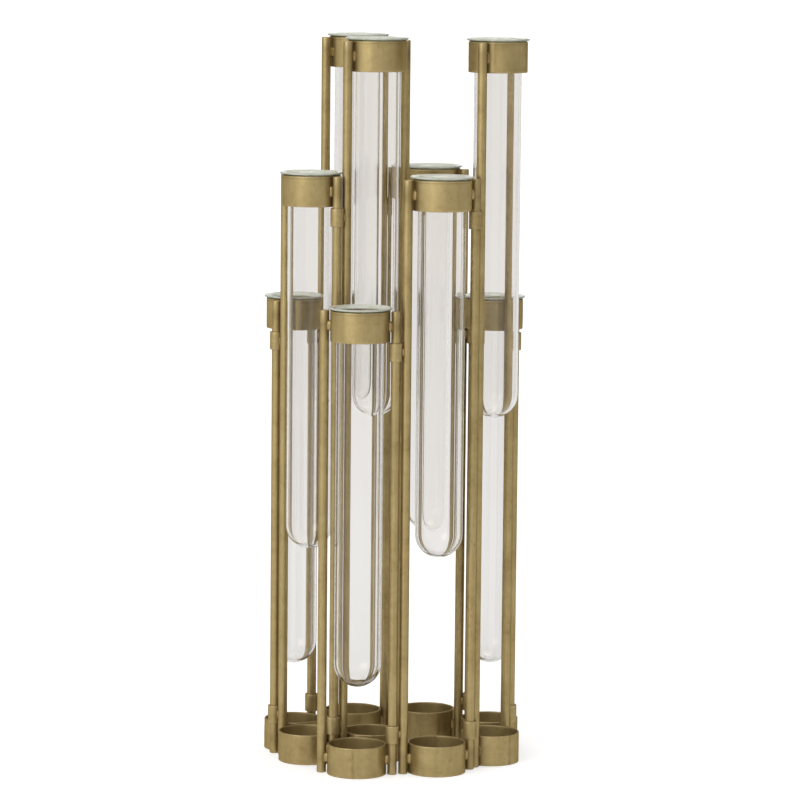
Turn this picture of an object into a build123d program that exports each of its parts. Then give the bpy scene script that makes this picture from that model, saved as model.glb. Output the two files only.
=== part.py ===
"""Folding row of glass flower tubes on hinged brass-finished frames.

Nine free-standing frames stand in a curled row. Each frame is a collar and a foot
ring of bent strip, held apart by two round rods, and a loose glass test tube hangs
in its collar by the lip. Knuckles brazed to the rod of the taller frame wrap the
rod of its shorter neighbour, so that every pair of frames is a hinge with an
upright axis. Sizes are in millimetres: +X is to the right, +Y away from the front
and +Z up, with the origin on the table under the middle of the row.
"""

import math
import os

from build123d import *

# Glass tube, a common laboratory size with a flared lip
tube_od = 25.0
tube_wall = 1.2
tube_length = 200.0
lip_overhang = 1.1
flare_bend = 2.6
flare_angle = 70.0
seat_clearance = 0.06

# Collar and foot ring, bands of the same strip
tube_play = 2.0
ring_wall = 1.0
ring_height = 16.0

# Rods, and the brazed blocks that join them to the rings
rod_d = 4.9
rod_gap = 0.8
rod_chamfer = 0.4
block_height = 5.2
block_width = 4.0

# Hinge knuckles, brazed to one rod and turning on the next
knuckle_od = 7.0
knuckle_length = 9.5
knuckle_end_gap = 0.6
knuckle_chamfer = 0.4
running_clearance = 0.06
weld_gap = 0.15
weld_height = 4.0
weld_width = 3.0
braze_flare = 0.5

# Frames: three heights that repeat along the row
tall_height = 383.0
middle_height = 312.5
short_height = 244.5
heights = [tall_height, middle_height, short_height] * 3

# Row as it stands, from the frame inside the curl to the free one at the front
first_heading = 216.5
folds = [78.5, 78.5, 34.5, 45.0, 34.5, 62.0, 43.0, 27.5]

# Sizes that follow from the ones above
ring_od = tube_od + 2 * (tube_play + ring_wall)
lip_od = ring_od + 2 * lip_overhang
rod_circle = ring_od / 2 + rod_gap + rod_d / 2
hinge_reach = rod_d / 2 + weld_gap + knuckle_od / 2
frame_total = len(heights)


def ahead(heading):
    """Unit vector of a heading on the table, in degrees from +X."""
    return Vector(math.cos(math.radians(heading)), math.sin(math.radians(heading)), 0)


def arm(n, neighbour):
    """Reach from a frame's centre to the hinge axis that it shares with a neighbour."""
    return rod_circle + (hinge_reach if heights[n] > heights[neighbour] else 0)


# Walk along the row: out of each frame to its hinge, fold, and on to the next centre
headings = [first_heading]
centres = [Vector(0, 0, 0)]
hinges = []
for n, fold in enumerate(folds):
    hinges.append(centres[n] + ahead(headings[n]) * arm(n, n + 1))
    headings.append(headings[n] - fold)
    centres.append(hinges[n] + ahead(headings[n + 1]) * arm(n + 1, n))

# Bring the middle of the plan to the origin
discs = [(hinge, knuckle_od / 2) for hinge in hinges]
for centre, heading in zip(centres, headings):
    discs.append((centre, lip_od / 2))
    discs.append((centre + ahead(heading) * rod_circle, rod_d / 2))
    discs.append((centre - ahead(heading) * rod_circle, rod_d / 2))
middle = Vector(
    (min(p.X - r for p, r in discs) + max(p.X + r for p, r in discs)) / 2,
    (min(p.Y - r for p, r in discs) + max(p.Y + r for p, r in discs)) / 2,
    0,
)
# On each seat +X runs along the row, with the first rod behind and the second ahead
seats = [
    Plane(origin=centre - middle, x_dir=ahead(heading), z_dir=(0, 0, 1))
    for centre, heading in zip(centres, headings)
]


def upright(seat, level):
    """Upright plane through a frame's two rods: x along the row, y up from a level."""
    return Plane(
        origin=seat.origin + Vector(0, 0, level),
        x_dir=seat.x_dir,
        z_dir=seat.x_dir.cross(seat.z_dir),
    )


def braze(plane, start, end, height):
    """Elevation of a brazed joint, waisted between the two pieces that it fills."""
    edge = height / 2 + braze_flare
    waist = (start + end) / 2
    with BuildSketch(plane) as outline:
        with BuildLine():
            ThreePointArc((start, edge), (waist, height / 2), (end, edge))
            Line((end, edge), (end, -edge))
            ThreePointArc((end, -edge), (waist, -height / 2), (start, -edge))
            Line((start, -edge), (start, edge))
        make_face()
    return outline.sketch


def band(seat, name):
    """Ring of bent strip that stands on its seat."""
    with BuildPart() as ring:
        with BuildSketch(seat):
            Circle(ring_od / 2)
            Circle(ring_od / 2 - ring_wall, mode=Mode.SUBTRACT)
        extrude(amount=ring_height)
    ring.part.label = name
    export_step(ring.part, f"parts/{name}.step")


def rod(seat, side, height, name):
    """Round rod from the table to the collar's top edge, with broken ends."""
    with BuildPart() as bar:
        with BuildSketch(seat):
            with Locations((side * rod_circle, 0)):
                Circle(rod_d / 2)
        extrude(amount=height)
        chamfer(bar.edges().filter_by(GeomType.CIRCLE), rod_chamfer)
    bar.part.label = name
    export_step(bar.part, f"parts/{name}.step")


def joining_blocks(seat, height, name):
    """Four brazed blocks that hold the rods to the middle of the collar and foot ring."""
    with BuildPart() as blocks:
        for level in (ring_height / 2, height - ring_height / 2):
            for side in (-1, 1):
                profile = braze(
                    upright(seat, level),
                    side * (ring_od / 2 - ring_wall),
                    side * rod_circle,
                    block_height,
                )
                extrude(profile, amount=block_width / 2, both=True)
        with BuildSketch(seat):
            Circle(ring_od / 2)
            with Locations((-rod_circle, 0), (rod_circle, 0)):
                Circle(rod_d / 2)
        extrude(amount=height, mode=Mode.SUBTRACT)
    blocks.part.label = name
    export_step(blocks.part, f"parts/{name}.step")


def hinge_knuckles(seat, places, name):
    """Knuckles on a frame's rods, each with its brazed web and a running bore."""
    with BuildPart() as knuckles:
        for side, foot in places:
            bore = side * (rod_circle + hinge_reach)
            with BuildSketch(seat.offset(foot)):
                with Locations((bore, 0)):
                    Circle(knuckle_od / 2)
            extrude(amount=knuckle_length)
            ends = knuckles.edges(Select.LAST).filter_by(GeomType.CIRCLE)
            chamfer(ends, knuckle_chamfer)
            web = braze(
                upright(seat, foot + knuckle_length / 2),
                side * rod_circle,
                bore,
                weld_height,
            )
            extrude(web, amount=weld_width / 2, both=True)
            with BuildSketch(seat.offset(foot)):
                with Locations((side * rod_circle, 0)):
                    Circle(rod_d / 2)
                with Locations((bore, 0)):
                    Circle(rod_d / 2 + running_clearance)
            extrude(amount=knuckle_length, mode=Mode.SUBTRACT)
    knuckles.part.label = name
    export_step(knuckles.part, f"parts/{name}.step")


def glass_tube(seat, height, name):
    """Round-bottomed tube whose flared mouth hangs on the collar's inner top edge."""
    outside = tube_od / 2
    inside = outside - tube_wall
    slope = math.radians(flare_angle)
    # The flare bends out of the wall, then runs straight over the collar to the lip
    flare_start = outside + flare_bend * (1 - math.cos(slope))
    lip_end = lip_od / 2 - tube_wall / 2 * (1 - math.cos(slope))
    to_collar = (ring_od / 2 - ring_wall - flare_start) / math.tan(slope)
    to_lip = (lip_end - flare_start) / math.tan(slope)
    bend = height + seat_clearance / math.sin(slope) - to_collar - flare_bend * math.sin(slope)
    under_lip = bend + flare_bend * math.sin(slope) + to_lip
    lip_centre = (lip_od / 2 - tube_wall / 2, under_lip + tube_wall / 2 * math.sin(slope))
    base = lip_centre[1] + tube_wall / 2 - tube_length
    with BuildPart() as tube:
        with BuildSketch(upright(seat, 0)):
            with BuildLine():
                bowl = CenterArc((0, base + outside), outside, -90, 90)
                Line(bowl @ 1, (outside, bend))
                under = CenterArc((outside + flare_bend, bend), flare_bend, 180, -flare_angle)
                Line(under @ 1, (lip_end, under_lip))
                lip = CenterArc(lip_centre, tube_wall / 2, -flare_angle, 180)
                over = CenterArc(
                    (outside + flare_bend, bend),
                    flare_bend + tube_wall,
                    180 - flare_angle,
                    flare_angle,
                )
                Line(lip @ 1, over @ 0)
                Line(over @ 1, (inside, base + outside))
                hollow = CenterArc((0, base + outside), inside, 0, -90)
                Line(hollow @ 1, (0, base))
            make_face()
        revolve(axis=Axis(seat.origin, seat.z_dir))
    tube.part.label = name
    export_step(tube.part, f"parts/{name}.step")


os.makedirs("parts", exist_ok=True)
for n, seat in enumerate(seats):
    number = n + 1
    height = heights[n]
    band(seat, f"foot_ring_{number}")
    band(seat.offset(height - ring_height), f"collar_{number}")
    rod(seat, -1, height, f"first_rod_{number}")
    rod(seat, 1, height, f"second_rod_{number}")
    joining_blocks(seat, height, f"joining_blocks_{number}")
    glass_tube(seat, height, f"glass_tube_{number}")

    # A frame carries knuckles towards each neighbour that is shorter than itself
    places = []
    for side, neighbour in ((-1, n - 1), (1, n + 1)):
        if 0 <= neighbour < frame_total and heights[neighbour] < height:
            places.append((side, ring_height + knuckle_end_gap))
            places.append(
                (side, heights[neighbour] - ring_height - knuckle_end_gap - knuckle_length)
            )
    if places:
        hinge_knuckles(seat, places, f"hinge_knuckles_{number}")
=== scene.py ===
"""Looks of the folding row of glass flower tubes.

Nine hinged frames in an antique brass finish stand in a curled row, each with a
loose glass tube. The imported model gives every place. The pieces made here stand for
its nodes, with soft rims, brazing, dents and finishes, and ride on its bodies.
"""

import math

import bpy
import numpy as np
from mathutils import Matrix, Vector


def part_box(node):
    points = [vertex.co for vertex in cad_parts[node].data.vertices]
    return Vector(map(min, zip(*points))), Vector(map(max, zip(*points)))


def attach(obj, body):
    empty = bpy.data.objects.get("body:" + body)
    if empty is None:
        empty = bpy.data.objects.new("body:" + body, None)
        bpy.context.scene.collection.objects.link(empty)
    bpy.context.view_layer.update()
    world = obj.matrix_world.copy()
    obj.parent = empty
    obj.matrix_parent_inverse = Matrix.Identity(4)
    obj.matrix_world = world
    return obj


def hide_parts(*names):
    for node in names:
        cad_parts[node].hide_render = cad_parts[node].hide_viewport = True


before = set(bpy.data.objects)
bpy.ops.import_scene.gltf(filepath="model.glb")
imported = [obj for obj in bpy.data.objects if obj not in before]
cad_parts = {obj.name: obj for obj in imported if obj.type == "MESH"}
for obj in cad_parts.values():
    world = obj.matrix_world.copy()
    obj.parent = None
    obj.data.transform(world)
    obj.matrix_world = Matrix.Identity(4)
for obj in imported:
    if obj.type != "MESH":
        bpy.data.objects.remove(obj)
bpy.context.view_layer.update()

# Foot rings and collars
# Bands of thin brass strip, bent round and brazed shut with an upright seam. The foot
# ring stands on the table, the collar holds the glass, and both are a little dented.
mm = 0.001
frame_numbers = range(1, 10)
band_radius = 15.5 * mm
band_wall = 1.0 * mm
band_steps = 144
fine_rows = 3 * mm
rim_round = 0.28 * mm
# The rims are paler: rubbed edges, and a painted highlight along them
rim_wear_and_highlight = 0.35 * mm
band_swell = 0.05 * mm
bending_flats = 0.022 * mm
dent_count = 7
dent_depth = 0.14 * mm
dent_small = 1.2 * mm
dent_large = 3.0 * mm

# Seams that show, in degrees round the band from +X, and the turn between the others
seen_seams = {"foot_ring_7": -48.0, "foot_ring_8": 93.0, "foot_ring_9": -97.0}
seam_turn = 137.5
seam_proud = 0.16 * mm
seam_width = 0.75 * mm
seam_waves = 900

# Patina at the seam, the blocks and inside, and painted shade beside the rods and under the lip: depth and
# reach of each
seam_soot = 0.8
joint_spread = 3.2 * mm
joint_rise = 3.6 * mm
# Painted shade in the crevice between each rod and the band, where the rod shades it
painted_crevice_shade = 1.3
crevice_width = 2.3 * mm
inside_soot = 0.35
# Painted shadow of the glass lip: a dark line just under a collar's top edge, its depth, drop and width
painted_lip_shadow = 0.55
shade_drop = 1.15 * mm
shade_width = 0.30 * mm
most_soot_and_shade = 1.3


def middle(node):
    """Centre of a node's box, and the levels of its foot and top."""
    low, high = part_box(node)
    return np.array(((low.x + high.x) / 2, (low.y + high.y) / 2)), low.z, high.z


def arc(centre, radius, start, end, steps):
    """Points of a circle's arc in a section, angles in degrees: centre plus radius times
    cosine and sine."""
    angle = np.radians(np.linspace(start, end, steps))
    return np.stack((centre[0] + radius * np.cos(angle), centre[1] + radius * np.sin(angle)), 1)


def run(start, end, steps):
    """Points inside a straight stretch of a section, its two ends left out: each is a
    share of the end and the rest of the start."""
    share = np.linspace(0, 1, steps + 2)[1:-1, None]
    return np.array(start) * (1 - share) + np.array(end) * share


def skin(name, grids, closed, masks):
    """Mesh object over grids of points, rows along a piece and columns round it.

    Neighbours on a grid make quads and the columns join end to end. The rows do too
    where the section is closed, and otherwise a fan on its middle shuts each end. Each
    mask is one value a point, kept as an attribute for the finish.
    """
    points, quads, fans, start = [], [], [], 0
    values = {key: [] for key in masks}
    for part, grid in enumerate(grids):
        rows, columns = grid.shape[:2]
        index = start + np.arange(rows * columns).reshape(rows, columns)
        low, high = (index, np.roll(index, -1, 0)) if closed else (index[:-1], index[1:])
        corners = (low, np.roll(low, -1, 1), np.roll(high, -1, 1), high)
        quads.append(np.stack(corners, -1).reshape(-1, 4))
        points.append(grid.reshape(-1, 3))
        for key in masks:
            values[key].append(np.broadcast_to(masks[key][part], (rows, columns)).ravel())
        start += rows * columns
        if not closed:
            first, last = index[0], index[-1]
            fans.append(np.stack((np.full(columns, start), np.roll(first, -1), first), 1))
            fans.append(np.stack((np.full(columns, start + 1), last, np.roll(last, -1)), 1))
            points.append(np.stack((grid[0].mean(0), grid[-1].mean(0))))
            for key in masks:
                ends = np.broadcast_to(masks[key][part], (rows, columns))
                values[key].append(np.array((ends[0].mean(), ends[-1].mean())))
            start += 2
    faces = np.concatenate(quads).tolist() + [fan for ring in fans for fan in ring.tolist()]
    mesh = bpy.data.meshes.new(name)
    mesh.from_pydata(np.concatenate(points).tolist(), [], faces)
    mesh.polygons.foreach_set("use_smooth", np.ones(len(faces), bool))
    for key in masks:
        layer = mesh.attributes.new(key, "FLOAT", "POINT")
        layer.data.foreach_set("value", np.concatenate(values[key]).astype(np.float32))
    mesh.update()
    piece = bpy.data.objects.new(name, mesh)
    bpy.context.scene.collection.objects.link(piece)
    return piece


def around(steps):
    """Angles of the columns round a piece: even steps of one full turn."""
    return np.linspace(0, 2 * np.pi, steps, endpoint=False)[None]


def turned(centre, section, steps):
    """Grid of a section turned about an upright axis: x and y are the radius times cosine
    and sine of the angle, and z is the section's own height."""
    angle = around(steps)
    radius, level = section[:, :1], section[:, 1:]
    x = centre[0] + radius * np.cos(angle)
    y = centre[1] + radius * np.sin(angle)
    return np.stack((x, y, level + 0 * angle), -1)


def gap_round(angle, from_angle):
    """Turn between two directions in radians, from minus half a turn to half a turn."""
    return (angle - from_angle + np.pi) % (2 * np.pi) - np.pi


def bent_band(node, along, seam, chance):
    """Grid and masks of one band: a strip's section with round corners, turned about the
    band's axis.

    Its radius swells by low sines of the angle, dips in a few round dents and thickens
    both ways over the seam as a bell curve of the distance from it. The soot and shade
    mask is a sum of bell curves: soot over the seam and round the blocks, painted shade
    in the crevices beside the two rods and, on a collar, a painted shadow under the lip.
    """
    centre, foot, top = middle(node)
    outer = band_radius
    inner = band_radius - band_wall
    corner = rim_round
    section = np.concatenate((
        arc((outer - corner, foot + corner), corner, -90, 0, 5),
        run((outer, foot + corner), (outer, top - fine_rows), 10),
        run((outer, top - fine_rows), (outer, top - corner), 9),
        arc((outer - corner, top - corner), corner, 0, 90, 5),
        arc((inner + corner, top - corner), corner, 90, 180, 5),
        run((inner, top - corner), (inner, foot + corner), 12),
        arc((inner + corner, foot + corner), corner, 180, 270, 5),
    ))
    angle = around(band_steps)
    radius, level = section[:, :1], section[:, 1:]
    outside = np.clip((radius - inner) / band_wall, 0, 1)
    lobes = chance.uniform(0, 2 * np.pi, 6)
    swell = band_swell * (np.sin(2 * angle + lobes[0]) + 0.6 * np.sin(3 * angle + lobes[1]))
    flats = bending_flats * (
        np.sin(9 * angle + lobes[3])
        + 0.7 * np.sin(14 * angle + lobes[4])
        + 0.4 * np.sin(23 * angle + lobes[5])
    )
    dents = 0 * angle * radius
    for _ in range(dent_count):
        at = chance.uniform(0, 2 * np.pi)
        height = chance.uniform(foot, top)
        size = chance.uniform(dent_small, dent_large)
        depth = chance.uniform(0.4, 1.0) * dent_depth
        apart = (gap_round(angle, at) * outer) ** 2 + (level - height) ** 2
        dents = dents + depth * np.exp(-apart / (2 * size ** 2))
    from_seam = gap_round(angle, np.radians(seam)) * outer
    ripple = 0.75 + 0.25 * np.sin(level * seam_waves + lobes[2])
    bead = np.exp(-(from_seam / seam_width) ** 2) * ripple
    grid = turned(centre, section, band_steps)
    shift = swell + flats - dents + bead * seam_proud * (2 * outside - 1)
    grid[..., 0] += shift * np.cos(angle)
    grid[..., 1] += shift * np.sin(angle)

    # Paler rim at the top and foot: rubbed edges, and a painted highlight along them
    edge = np.minimum(level - foot, top - level)
    rim = np.exp(-(edge / rim_wear_and_highlight) ** 2)
    heading = math.atan2(along[1], along[0])
    from_rods = [gap_round(angle, heading + side) * outer for side in (0, np.pi)]
    from_middle = (level - (foot + top) / 2) / joint_rise
    joint = sum(np.exp(-(apart / joint_spread) ** 2 - from_middle ** 2) for apart in from_rods)
    # Painted shade: the crevice beside each rod is darkened by a bell curve of the distance from the rod
    crevice = sum(np.exp(-(apart / crevice_width) ** 2) for apart in from_rods)
    beside_rods = np.maximum(joint, painted_crevice_shade * crevice)
    soot_and_shade = seam_soot * bead + beside_rods * outside + inside_soot * (1 - outside)
    # Painted shadow of the glass lip, on a collar only
    if node.startswith("collar"):
        from_shade = (top - level - shade_drop) / shade_width
        soot_and_shade = soot_and_shade + painted_lip_shadow * np.exp(-from_shade ** 2) * outside
    return grid, rim, np.clip(soot_and_shade, 0, most_soot_and_shade)


def put(tree, kind, inputs=(), **options):
    """New shader node: options are its own settings, and inputs pairs each socket with a
    value or with the socket that feeds it."""
    node = tree.nodes.new("ShaderNode" + kind)
    for option, value in options.items():
        setattr(node, option, value)
    for socket, value in dict(inputs).items():
        if isinstance(value, bpy.types.NodeSocket):
            tree.links.new(value, node.inputs[socket])
        else:
            node.inputs[socket].default_value = value
    return node


def noise(tree, place, **settings):
    """Noise value over a place. The settings are the node's own sockets."""
    return put(tree, "TexNoise", {"Vector": place, **settings}).outputs["Fac"]


def ramp(tree, factor, stops):
    """Colour ramp node over (position, colour) stops, fed by a factor."""
    node = put(tree, "ValToRGB", {0: factor})
    elements = node.color_ramp.elements
    while len(elements) < len(stops):
        elements.new(0.5)
    for element, (position, colour) in zip(elements, stops):
        element.position = position
        element.color = (*colour, 1)
    return node.outputs["Color"]


def blend(tree, factor, first, second):
    """Colour mix of two sockets or colours by a factor."""
    node = put(tree, "Mix", data_type="RGBA", blend_type="MIX")
    for socket, value in ((0, factor), (6, first), (7, second)):
        if isinstance(value, bpy.types.NodeSocket):
            tree.links.new(value, node.inputs[socket])
        else:
            node.inputs[socket].default_value = value if socket == 0 else (*value, 1)
    return node.outputs[2]


def sums(tree, operation, first, second):
    """Math node of two values."""
    return put(tree, "Math", {0: first, 1: second}, operation=operation).outputs[0]


def level_of(tree, value, low, high, to_low=0.0, to_high=1.0):
    """Value carried from one range to another and held inside it."""
    ends = {"From Min": low, "From Max": high, "To Min": to_low, "To Max": to_high}
    return put(tree, "MapRange", {"Value": value, **ends}).outputs["Result"]


# Colours of the antique finish, from the plain brass to what darkens and brightens it; the soot brown also
# paints shade, the rubbed gold also a highlight
brass_tones = (
    (0.30, (0.300, 0.220, 0.094)),
    (0.44, (0.402, 0.305, 0.135)),
    (0.56, (0.450, 0.347, 0.159)),
    (0.70, (0.496, 0.387, 0.192)),
)
streak_brown = (0.285, 0.210, 0.092)
rubbed_and_highlight_gold = (0.560, 0.455, 0.265)
soot_and_shade_brown = (0.165, 0.114, 0.052)
nick_brown = (0.125, 0.088, 0.042)

antique = bpy.data.node_groups.new("antique_brass_finish", "ShaderNodeTree")
for socket, kind, way in (
    ("Rim", "NodeSocketFloat", "INPUT"),
    ("Soot_and_shade", "NodeSocketFloat", "INPUT"),
    ("Streaks", "NodeSocketVector", "INPUT"),
    ("Color", "NodeSocketColor", "OUTPUT"),
    ("Roughness", "NodeSocketFloat", "OUTPUT"),
    ("Height", "NodeSocketFloat", "OUTPUT"),
):
    antique.interface.new_socket(socket, in_out=way, socket_type=kind)
given = antique.nodes.new("NodeGroupInput")
result = antique.nodes.new("NodeGroupOutput")
place = put(antique, "TexCoord").outputs["Object"]
cloud = noise(antique, place, Scale=62.0, Detail=3.0, Roughness=0.55)
mottle = noise(antique, place, Scale=330.0, Detail=4.0, Roughness=0.6, Distortion=0.4)
grain = noise(antique, place, Scale=2600.0, Detail=2.0)
drawn = put(antique, "VectorMath", {0: place, 1: given.outputs["Streaks"]}, operation="MULTIPLY").outputs[0]
streak = noise(antique, drawn, Scale=1.0, Detail=3.0, Roughness=0.6)
slant = {"Vector": place, "Rotation": (0.5, 0.9, 0.3), "Scale": (2400.0, 160.0, 420.0)}
slanted = put(antique, "Mapping", slant).outputs[0]
nick = level_of(antique, noise(antique, slanted, Scale=1.0, Detail=1.0), 0.715, 0.77)
tone = sums(antique, "ADD", sums(antique, "MULTIPLY", cloud, 0.62), sums(antique, "MULTIPLY", mottle, 0.38))
colour = ramp(antique, tone, brass_tones)
colour = blend(antique, level_of(antique, streak, 0.42, 0.72, 0.0, 0.34), colour, streak_brown)
# The rim mask pales the colour towards rubbed gold: rubbed edges, and a painted highlight
patchy = level_of(antique, mottle, 0.32, 0.62, 0.15, 0.65)
rubbed_and_highlight = sums(antique, "MULTIPLY", given.outputs["Rim"], patchy)
colour = blend(antique, rubbed_and_highlight, colour, rubbed_and_highlight_gold)
# The soot mask darkens towards soot brown: patina at the seams, joints and inside, and painted shade beside
# the rods and under the lip
soot_and_shade_breakup = level_of(antique, mottle, 0.30, 0.66, 0.35, 0.85)
soot_and_shade_cover = sums(antique, "MULTIPLY", given.outputs["Soot_and_shade"], soot_and_shade_breakup)
colour = blend(antique, soot_and_shade_cover, colour, soot_and_shade_brown)
colour = blend(antique, sums(antique, "MULTIPLY", nick, 0.65), colour, nick_brown)
rough = level_of(antique, tone, 0.34, 0.66, 0.40, 0.31)
rough = sums(antique, "ADD", rough, sums(antique, "MULTIPLY", soot_and_shade_cover, 0.14))
rough = sums(antique, "SUBTRACT", rough, sums(antique, "MULTIPLY", rubbed_and_highlight, 0.08))
height = sums(antique, "ADD", sums(antique, "MULTIPLY", grain, 0.35), sums(antique, "MULTIPLY", mottle, 0.65))
height = sums(antique, "SUBTRACT", height, sums(antique, "MULTIPLY", nick, 0.5))
for socket, value in (("Color", colour), ("Roughness", rough), ("Height", height)):
    antique.links.new(value, result.inputs[socket])

relief_depth = 0.12 * mm


def brass(name, streaks, bump):
    """Antique brass material: the shared finish with its own direction of draw marks and
    depth of bump, over a satin lacquer that is part metal and part plain colour."""
    material = bpy.data.materials.new(name)
    material.use_nodes = True
    tree = material.node_tree
    shader = tree.nodes["Principled BSDF"]
    shader.inputs["Metallic"].default_value = 0.72
    shader.inputs["Specular IOR Level"].default_value = 0.2
    shader.inputs["Specular Tint"].default_value = (0.45, 0.36, 0.20, 1.0)
    finish = tree.nodes.new("ShaderNodeGroup")
    finish.node_tree = antique
    finish.inputs["Streaks"].default_value = streaks
    for mask in ("rim", "soot_and_shade"):
        value = put(tree, "Attribute", attribute_name=mask).outputs["Fac"]
        tree.links.new(value, finish.inputs[mask.capitalize()])
    depth = {"Strength": bump, "Distance": relief_depth, "Height": finish.outputs["Height"]}
    relief = put(tree, "Bump", depth)
    tree.links.new(finish.outputs["Color"], shader.inputs["Base Color"])
    tree.links.new(finish.outputs["Roughness"], shader.inputs["Roughness"])
    tree.links.new(relief.outputs["Normal"], shader.inputs["Normal"])
    return material


def stand_in(piece, material, node, body):
    """Give a finished piece its material, and let it stand for its node and ride."""
    piece.data.materials.append(material)
    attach(piece, body)
    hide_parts(node)


band_brass = brass("band_brass", (190.0, 190.0, 22.0), 0.4)
rods, levels, along = {}, {}, {}
for n in frame_numbers:
    rods[n] = {-1: middle(f"first_rod_{n}")[0], 1: middle(f"second_rod_{n}")[0]}
    levels[n] = middle(f"first_rod_{n}")[2]
    along[n] = (rods[n][1] - rods[n][-1]) / np.linalg.norm(rods[n][1] - rods[n][-1])
    for order, kind in enumerate(("foot_ring", "collar")):
        node = f"{kind}_{n}"
        seam = seen_seams.get(node, seam_turn * (2 * n + order))
        grid, rim, soot_and_shade = bent_band(node, along[n], seam, np.random.default_rng(10 * n + order))
        band = skin(f"brass_{node}", [grid], True, {"rim": [rim], "soot_and_shade": [soot_and_shade]})
        stand_in(band, band_brass, node, f"frame_{n}")

# Rods
# Two drawn brass rods on each frame, from the table to the collar's top edge. They are
# brazed beside the bands, with ends rounded on the wheel and marks drawn along them.
rod_radius = 2.45 * mm
rod_round = 0.55 * mm
rod_rows = 70
rod_steps = 36
rod_waver = 0.012 * mm
rod_waves = 260
rod_end_wear_and_highlight = 0.6 * mm
rod_soot_reach = 3.4 * mm
band_height = middle("foot_ring_1")[2]
rod_brass = brass("rod_brass", (1500.0, 1500.0, 70.0), 0.4)


def drawn_rod(node, chance):
    """Grid and masks of one rod: a straight side between two rounded ends, turned about the
    rod's axis. Its radius is slimmed by a slow sine of the level, and the soot is a bell
    curve of the distance from each of its two brazed blocks."""
    centre, foot, top = middle(node)
    barrel = rod_radius - rod_round
    section = np.concatenate((
        arc((barrel, foot + rod_round), rod_round, -90, 0, 5),
        run((rod_radius, foot + rod_round), (rod_radius, top - rod_round), rod_rows),
        arc((barrel, top - rod_round), rod_round, 0, 90, 5),
    ))
    level = section[:, 1:]
    slim = rod_waver * (1 + np.sin(level * rod_waves + chance.uniform(0, 6)))
    section[:, :1] -= np.minimum(slim, section[:, :1] / 2)
    from_end = np.minimum(level - foot, top - level)
    # Paler rod ends: rubbed, and a painted highlight
    rim = 0.8 * np.exp(-(from_end / rod_end_wear_and_highlight) ** 2)
    soot_and_shade = sum(
        0.75 * np.exp(-((level - block) / rod_soot_reach) ** 2)
        for block in (foot + band_height / 2, top - band_height / 2)
    )
    return turned(centre, section, rod_steps), rim, soot_and_shade


for n in frame_numbers:
    for side, name in ((-1, "first_rod"), (1, "second_rod")):
        node = f"{name}_{n}"
        grid, rim, soot_and_shade = drawn_rod(node, np.random.default_rng(100 * n + side))
        rod = skin(f"brass_{node}", [grid], False, {"rim": [rim], "soot_and_shade": [soot_and_shade]})
        stand_in(rod, rod_brass, node, f"frame_{n}")

# Brazed blocks
# Four short blocks of brass on each frame, brazed between the rods and the middle of
# the collar and foot ring. The brazing has run into a soft fillet at both ends.
block_height = 5.2 * mm
block_width = 4.0 * mm
braze_flare = 0.5 * mm
braze_sink = 0.3 * mm
braze_fillet = 0.9 * mm
braze_waist = 0.86
braze_corner = 0.55
braze_rows = 19
braze_steps = 32
wall_share = 0.96
joint_brass = brass("joint_brass", (420.0, 420.0, 420.0), 0.8)


def rounded(wave):
    """Superellipse of a sine or cosine: its sign times its size to a power under one."""
    return np.sign(wave) * np.abs(wave) ** braze_corner


def brazing(start, start_radius, end, end_radius, level, height, width, chance):
    """Grid and masks of one brazed joint between two upright cylinders.

    Rows run from inside the first wall to inside the second, each lying along the
    walls' own curves. Columns go round a section whose corners are those of a
    superellipse. It is waisted at the middle by a parabola, spreads over both walls
    in a fillet by a high power of the distance from there, and is made uneven by
    low sines.
    """
    reach = np.linalg.norm(end - start)
    ahead = (end - start) / reach
    aside = np.array((-ahead[1], ahead[0]))
    share = (1 - np.cos(np.pi * np.linspace(0, 1, braze_rows)[:, None])) / 2
    turn = around(braze_steps)
    bow = (2 * share - 1) ** 2
    lumps = (
        1
        + 0.035 * np.sin(3 * turn + chance.uniform(0, 6)) * np.sin(np.pi * share)
        + 0.03 * np.sin(5 * share + chance.uniform(0, 6))
    )
    fillet = braze_fillet * bow ** 5 * (1 + 0.3 * np.sin(2 * turn + chance.uniform(0, 6)))
    half_width = (braze_waist + (1 - braze_waist) * bow) * width / 2 + fillet
    half_height = height / 2 + braze_flare * bow + fillet
    y = half_width * lumps * rounded(np.cos(turn))
    z = half_height * lumps * rounded(np.sin(turn))
    y = np.clip(y, -wall_share * end_radius, wall_share * end_radius)
    near = np.sqrt(start_radius ** 2 - y ** 2) - braze_sink
    far = reach - np.sqrt(end_radius ** 2 - y ** 2) + braze_sink
    x = near + (far - near) * share
    plan = start + x[..., None] * ahead + y[..., None] * aside
    soot_and_shade = 0.08 + 0.5 * bow ** 4
    # Paler corners along the block: rubbed, and a painted highlight
    rim = 0.35 * (1 - bow) * np.abs(np.sin(2 * turn)) ** 3
    return np.concatenate((plan, level + z[..., None]), -1), rim, soot_and_shade


for n in frame_numbers:
    chance = np.random.default_rng(1000 + n)
    centre = middle(f"foot_ring_{n}")[0]
    made = [
        brazing(centre, band_radius, rods[n][side], rod_radius, level, block_height, block_width, chance)
        for level in (band_height / 2, levels[n] - band_height / 2)
        for side in (-1, 1)
    ]
    grids, rims, soots = zip(*made)
    blocks = skin(f"brazed_blocks_{n}", grids, False, {"rim": rims, "soot_and_shade": soots})
    stand_in(blocks, joint_brass, f"joining_blocks_{n}", f"frame_{n}")

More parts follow.
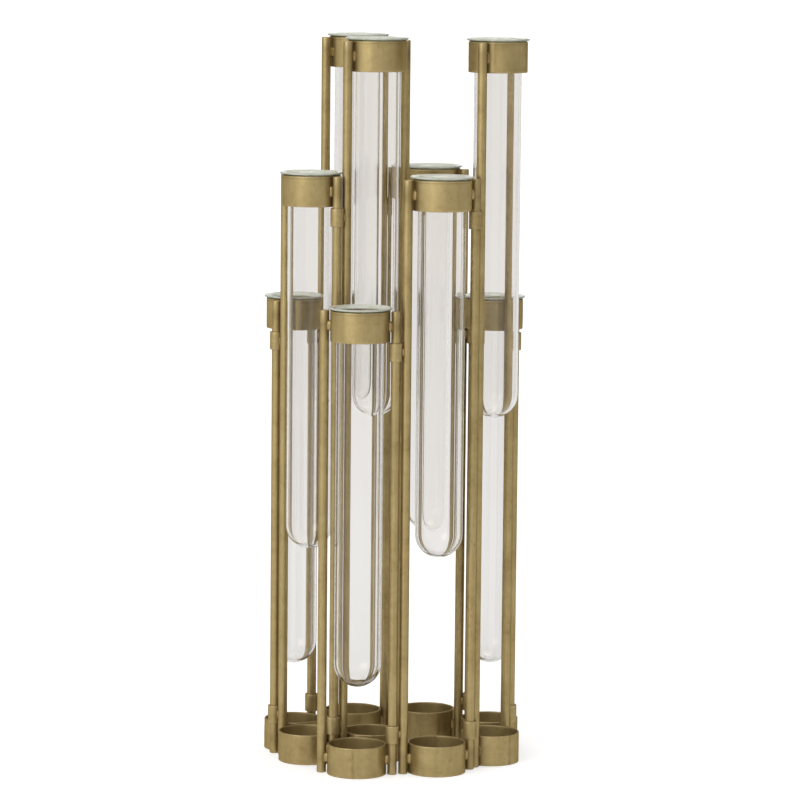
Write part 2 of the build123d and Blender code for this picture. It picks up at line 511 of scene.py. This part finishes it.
# Hinge knuckles
# Short lengths of brass tube that turn on the shorter frame's rod, two to a hinge, held
# between its collar and foot ring. A brazed web fixes each to the taller frame's rod.
knuckle_radius = 3.5 * mm
knuckle_bore = 2.51 * mm
knuckle_length = 9.5 * mm
knuckle_end_gap = 0.6 * mm
knuckle_round = 0.4 * mm
knuckle_end_wear_and_highlight = 0.5 * mm
knuckle_steps = 56
bore_round = 0.12 * mm
web_height = 4.0 * mm
web_width = 3.0 * mm


def knuckle(centre, foot):
    """Grid and masks of one knuckle: a tube wall's section with its corners rounded, turned
    about the hinge axis."""
    top = foot + knuckle_length
    corner = knuckle_round
    bevel = bore_round
    section = np.concatenate((
        arc((knuckle_radius - corner, foot + corner), corner, -90, 0, 6),
        run((knuckle_radius, foot + corner), (knuckle_radius, top - corner), 6),
        arc((knuckle_radius - corner, top - corner), corner, 0, 90, 6),
        arc((knuckle_bore + bevel, top - bevel), bevel, 90, 180, 3),
        run((knuckle_bore, top - bevel), (knuckle_bore, foot + bevel), 4),
        arc((knuckle_bore + bevel, foot + bevel), bevel, 180, 270, 3),
    ))
    radius, level = section[:, :1], section[:, 1:]
    edge = np.minimum(level - foot, top - level)
    outside = (radius - knuckle_bore) / (knuckle_radius - knuckle_bore)
    # Paler knuckle ends: rubbed, and a painted highlight
    rim = np.exp(-(edge / knuckle_end_wear_and_highlight) ** 2) * outside
    soot_and_shade = 0.05 + 0.6 * (1 - outside)
    return turned(centre, section, knuckle_steps), rim, soot_and_shade


for n in frame_numbers:
    turning, webs = [], []
    chance = np.random.default_rng(2000 + n)
    for side in (-1, 1):
        neighbour = n + side
        if neighbour not in levels or levels[neighbour] > levels[n]:
            continue
        axis = rods[neighbour][-side]
        held = rods[n][side]
        foot_gap = band_height + knuckle_end_gap
        for foot in (foot_gap, levels[neighbour] - foot_gap - knuckle_length):
            turning.append(knuckle(axis, foot))
            level = foot + knuckle_length / 2
            web = brazing(axis, knuckle_radius, held, rod_radius, level, web_height, web_width, chance)
            webs.append(web)
    if turning:
        grids, rims, soots = zip(*turning)
        tubes = skin(f"brass_knuckles_{n}", grids, True, {"rim": rims, "soot_and_shade": soots})
        stand_in(tubes, joint_brass, f"hinge_knuckles_{n}", f"frame_{n}")
        grids, rims, soots = zip(*webs)
        fixed = skin(f"brazed_webs_{n}", grids, False, {"rim": rims, "soot_and_shade": soots})
        stand_in(fixed, joint_brass, f"hinge_knuckles_{n}", f"frame_{n}")

# Glass tubes
# Blown clear glass with a round bottom and a flared lip, fire polished and faintly
# green at its edge, its lip made half milky and pale as a painted reflection, with a
# painted shade under its front. Each hangs loose in its collar, on the collar's top edge.
glass_radius = 12.5 * mm
glass_wall = 1.2 * mm
lip_radius = 16.6 * mm
flare_bend = 2.6 * mm
flare_angle = 70.0
pole_gap = 1.5
glass_steps = 112
blown_waver = 0.006 * mm
calm_below_bend = 2 * mm
calm_fade = 20 * mm
lip_waver = 0.11 * mm
under_from = 0.15 * mm
under_fade = 0.3 * mm
lip_glass_outside = 1.6 * mm
lip_glass_inside = 2.6 * mm
clear_tones = ((0.35, (0.985, 0.975, 0.965)), (0.65, (0.995, 0.987, 0.978)))
grazing_grey = (0.700, 0.735, 0.700)
flare_tint = (0.965, 0.970, 0.930)
# Pale lip colours: the lip glass is painted pale and half milky as a painted reflection
lip_sheen_tones = (
    (0.32, (0.790, 0.840, 0.660)),
    (0.50, (0.930, 0.950, 0.830)),
    (0.68, (0.985, 0.985, 0.940)),
)
# Painted shade under the lip's front, dark green
under_lip_shade_green = (0.205, 0.220, 0.115)

glass = bpy.data.materials.new("clear_glass")
glass.use_nodes = True
tree = glass.node_tree
shader = tree.nodes["Principled BSDF"]
shader.inputs["Transmission Weight"].default_value = 1.0
shader.inputs["IOR"].default_value = 1.5
shader.inputs["Specular Tint"].default_value = (0.78, 0.68, 0.52, 1.0)
lip = put(tree, "Attribute", attribute_name="lip").outputs["Fac"]
place = put(tree, "TexCoord").outputs["Object"]
long_place = put(tree, "Mapping", {"Vector": place, "Scale": (160.0, 160.0, 20.0)}).outputs[0]
clear = ramp(tree, noise(tree, long_place, Scale=1.0, Detail=2.0), clear_tones)
grazing = put(tree, "LayerWeight", {"Blend": 0.5}).outputs["Facing"]
clear = blend(tree, level_of(tree, grazing, 0.70, 0.96), clear, grazing_grey)
tree.links.new(blend(tree, lip, clear, flare_tint), shader.inputs["Base Color"])
smudge = noise(tree, place, Scale=90.0, Detail=4.0)
tree.links.new(level_of(tree, smudge, 0.50, 0.80, 0.0, 0.03), shader.inputs["Roughness"])

# Lip glass, half milky and pale: a painted reflection on the fire-polished lip
lip_glass = bpy.data.materials.new("lip_glass_painted_sheen")
lip_glass.use_nodes = True
tree = lip_glass.node_tree
shader = tree.nodes["Principled BSDF"]
shader.inputs["Transmission Weight"].default_value = 0.45
shader.inputs["IOR"].default_value = 1.5
place = put(tree, "TexCoord").outputs["Object"]
ripple = noise(tree, place, Scale=260.0, Detail=3.0, Distortion=0.6)
pale = ramp(tree, ripple, lip_sheen_tones)
grazing = put(tree, "LayerWeight", {"Blend": 0.5}).outputs["Facing"]
# Painted shade: the outside of the lip below its middle darkens towards green, most at grazing
under = put(tree, "Attribute", attribute_name="under").outputs["Fac"]
deep = sums(tree, "MULTIPLY", under, level_of(tree, grazing, 0.25, 0.70, 0.12, 1.0))
tree.links.new(blend(tree, deep, pale, under_lip_shade_green), shader.inputs["Base Color"])
tree.links.new(level_of(tree, ripple, 0.35, 0.65, 0.05, 0.16), shader.inputs["Roughness"])


def blown_tube(node, chance):
    """Grid, masks and lip rows of one tube: its wall's section turned about its axis.

    The section goes up the outside, round the lip and down the inside, in arcs for the
    bowl, the flare and the lip with straight walls between them. The walls waver by low
    sines of level and angle, and the lip's top dips by a product of two sines. The lip
    mask grows with level and radius over the flare. The under mask is the outside of
    the lip below its middle, where painted shade darkens the lip glass, and the lip rows
    are the faces of the lip's own glass, made pale and half milky as a painted reflection.
    """
    centre, base, rim_level = middle(node)
    bore = glass_radius - glass_wall
    bowl = base + glass_radius
    slope = math.radians(flare_angle)
    flare_start = glass_radius + flare_bend * (1 - math.cos(slope))
    lip_end = lip_radius - glass_wall / 2 * (1 - math.cos(slope))
    lip_centre = (lip_radius - glass_wall / 2, rim_level - glass_wall / 2)
    under_lip = lip_centre[1] - glass_wall / 2 * math.sin(slope)
    bend = under_lip - (lip_end - flare_start) / math.tan(slope) - flare_bend * math.sin(slope)
    hub = (glass_radius + flare_bend, bend)
    section = np.concatenate((
        arc((0, bowl), glass_radius, pole_gap - 90, 0, 26),
        run((glass_radius, bowl), (glass_radius, bend), 20),
        arc(hub, flare_bend, 180, 180 - flare_angle, 8),
        arc(lip_centre, glass_wall / 2, -flare_angle, 180 - flare_angle, 9),
        arc(hub, flare_bend + glass_wall, 180 - flare_angle, 180, 10),
        run((bore, bend), (bore, bowl), 20),
        arc((0, bowl), bore, 0, pole_gap - 90, 26),
    ))
    grid = turned(centre, section, glass_steps)
    angle = around(glass_steps)
    radius, level = section[:, :1], section[:, 1:]
    rows = np.arange(len(section))[:, None]
    inside = rows > len(section) // 2
    outside = rows <= np.argmax(level)
    sway = chance.uniform(0, 2 * np.pi, 4)
    waver = blown_waver * (
        np.sin(level * 95 + 2 * angle + sway[0])
        + 0.7 * np.sin(level * 210 - 3 * angle + sway[1] + 1.4 * inside)
    )
    calm = np.clip((bend - calm_below_bend - level) / calm_fade, 0, 1)
    waver = waver * np.clip(radius / glass_radius, 0, 1) ** 2 * calm
    grid[..., 0] += waver * np.cos(angle)
    grid[..., 1] += waver * np.sin(angle)
    risen = np.clip((level - bend) / (rim_level - bend), 0, 1)
    lip_share = risen * np.clip((radius - bore) / (lip_radius - bore), 0, 1)
    waves = 1 + np.sin(3 * angle + sway[2]) * np.sin(5 * angle + sway[3])
    grid[..., 2] -= lip_share ** 4 * lip_waver * waves
    below = np.clip((lip_centre[1] + under_from - level) / under_fade, 0, 1) * (level > bend) * outside
    lip_rows = level > bend + np.where(outside, lip_glass_outside, lip_glass_inside)
    return grid, lip_share, below, lip_rows[:-1, 0]


for n in frame_numbers:
    grid, lip_share, below, lip_rows = blown_tube(f"glass_tube_{n}", np.random.default_rng(3000 + n))
    tube = skin(f"clear_tube_{n}", [grid], False, {"lip": [lip_share], "under": [below]})
    stand_in(tube, glass, f"glass_tube_{n}", f"tube_{n}")
    tube.data.materials.append(lip_glass)
    glazing = np.zeros(len(tube.data.polygons), np.int32)
    glazing[:lip_rows.size * glass_steps] = np.repeat(lip_rows, glass_steps)
    tube.data.polygons.foreach_set("material_index", glazing)

# Floor and studio
# A pale sweep of paper under the row, white to the camera but still shaded, and a
# white room that is bright at the left front and behind, and greyer at the right.
floor_reach = 30.0
floor_drop = 0.02 * mm
paper_tones = ((0.3, (0.790, 0.790, 0.790)), (0.7, (0.810, 0.810, 0.810)))
white = (1.0, 1.0, 1.0)
floor_through_glass = (1.0, 0.95, 0.86)
room_through_glass = (0.866, 0.852, 0.823)
window_way = Vector((-0.56, -0.72, 0.42)).normalized()
left_way = Vector((-0.62, -0.70, 0.36)).normalized()
back_way = (0.0, 1.0, 0.0)
light_aim = Vector((0, 0, 0.2))

corners = np.array(((-1, -1), (1, -1), (1, 1), (-1, 1))) * floor_reach
floor_mesh = bpy.data.meshes.new("paper_floor")
floor_mesh.from_pydata([(x, y, -floor_drop) for x, y in corners], [], [(0, 1, 2, 3)])
floor = bpy.data.objects.new("paper_floor", floor_mesh)
bpy.context.scene.collection.objects.link(floor)
paper = bpy.data.materials.new("white_paper")
paper.use_nodes = True
tree = paper.node_tree
shader = tree.nodes["Principled BSDF"]
shader.inputs["Roughness"].default_value = 0.9
shader.inputs["Specular IOR Level"].default_value = 0.0
place = put(tree, "TexCoord").outputs["Object"]
fibre = noise(tree, place, Scale=500.0, Detail=3.0)
tree.links.new(ramp(tree, fibre, paper_tones), shader.inputs["Base Color"])
path = put(tree, "LightPath").outputs
away = put(tree, "VectorMath", {0: place}, operation="LENGTH").outputs["Value"]
lift = level_of(tree, away, 0.3, 3.0, 0.0, 0.22)
direct = sums(tree, "MULTIPLY", path["Is Camera Ray"], sums(tree, "ADD", lift, 0.45))
dimmer = sums(tree, "ADD", sums(tree, "MULTIPLY", lift, 0.6), 0.10)
through = sums(tree, "MULTIPLY", path["Is Transmission Ray"], dimmer)
mirrored = sums(tree, "SUBTRACT", path["Is Glossy Ray"], path["Is Transmission Ray"])
glossy = sums(tree, "MULTIPLY", mirrored, 0.22)
glow = sums(tree, "MAXIMUM", direct, sums(tree, "MAXIMUM", through, glossy))
tree.links.new(glow, shader.inputs["Emission Strength"])
glow_colour = blend(tree, path["Is Transmission Ray"], white, floor_through_glass)
tree.links.new(glow_colour, shader.inputs["Emission Color"])
floor_mesh.materials.append(paper)


def towards(tree, direction, way):
    """Cosine between a ray's direction and a fixed way."""
    return put(tree, "VectorMath", {0: direction, 1: way}, operation="DOT_PRODUCT").outputs["Value"]


world = bpy.data.worlds.new("white_room")
bpy.context.scene.world = world
world.use_nodes = True
tree = world.node_tree
sky = tree.nodes["Background"]
place = put(tree, "TexCoord").outputs["Generated"]
direction = put(tree, "VectorMath", {0: place}, operation="NORMALIZE").outputs[0]
left_side = level_of(tree, towards(tree, direction, left_way), -0.75, 0.75, 0.30, 0.70)
window = level_of(tree, towards(tree, direction, window_way), 0.55, 0.97, 0.0, 0.66)
backdrop = level_of(tree, towards(tree, direction, back_way), 0.80, 0.97)
room = sums(tree, "MAXIMUM", sums(tree, "ADD", left_side, window), backdrop)
path = put(tree, "LightPath").outputs
seen = sums(tree, "MAXIMUM", path["Is Camera Ray"], path["Is Transmission Ray"])
tree.links.new(sums(tree, "MAXIMUM", room, seen), sky.inputs["Strength"])
room_colour = blend(tree, path["Is Transmission Ray"], white, room_through_glass)
tree.links.new(room_colour, sky.inputs["Color"])

for name, place, size, power in (
    ("window_light", (-1.4, -1.8, 1.05), 1.5, 10.5),
    ("top_light", (0.3, 0.4, 1.9), 1.0, 8.0),
):
    lamp = bpy.data.lights.new(name, "AREA")
    lamp.size = size
    lamp.energy = power
    light = bpy.data.objects.new(name, lamp)
    tilt = (light_aim - Vector(place)).to_track_quat("-Z", "Y").to_matrix().to_4x4()
    light.matrix_world = Matrix.Translation(place) @ tilt
    bpy.context.scene.collection.objects.link(light)

# Camera
# A long lens about two metres in front of the row and a little above it.
image_width = 800
focal_pixels = 4034
camera_place = (13.37 * mm, -2130.24 * mm, 455.94 * mm)
camera_pitch = 7.063
camera_yaw = 0.272
camera_roll = 0.541
eye = bpy.data.cameras.new("front_camera")
eye.sensor_width = 36.0
eye.lens = focal_pixels / image_width * eye.sensor_width
camera = bpy.data.objects.new("front_camera", eye)
camera.matrix_world = (
    Matrix.Translation(camera_place)
    @ Matrix.Rotation(math.radians(camera_yaw), 4, "Z")
    @ Matrix.Rotation(math.radians(90 - camera_pitch), 4, "X")
    @ Matrix.Rotation(math.radians(camera_roll), 4, "Z")
)
bpy.context.scene.collection.objects.link(camera)
bpy.context.scene.camera = camera
bpy.context.scene.view_settings.view_transform = "Standard"
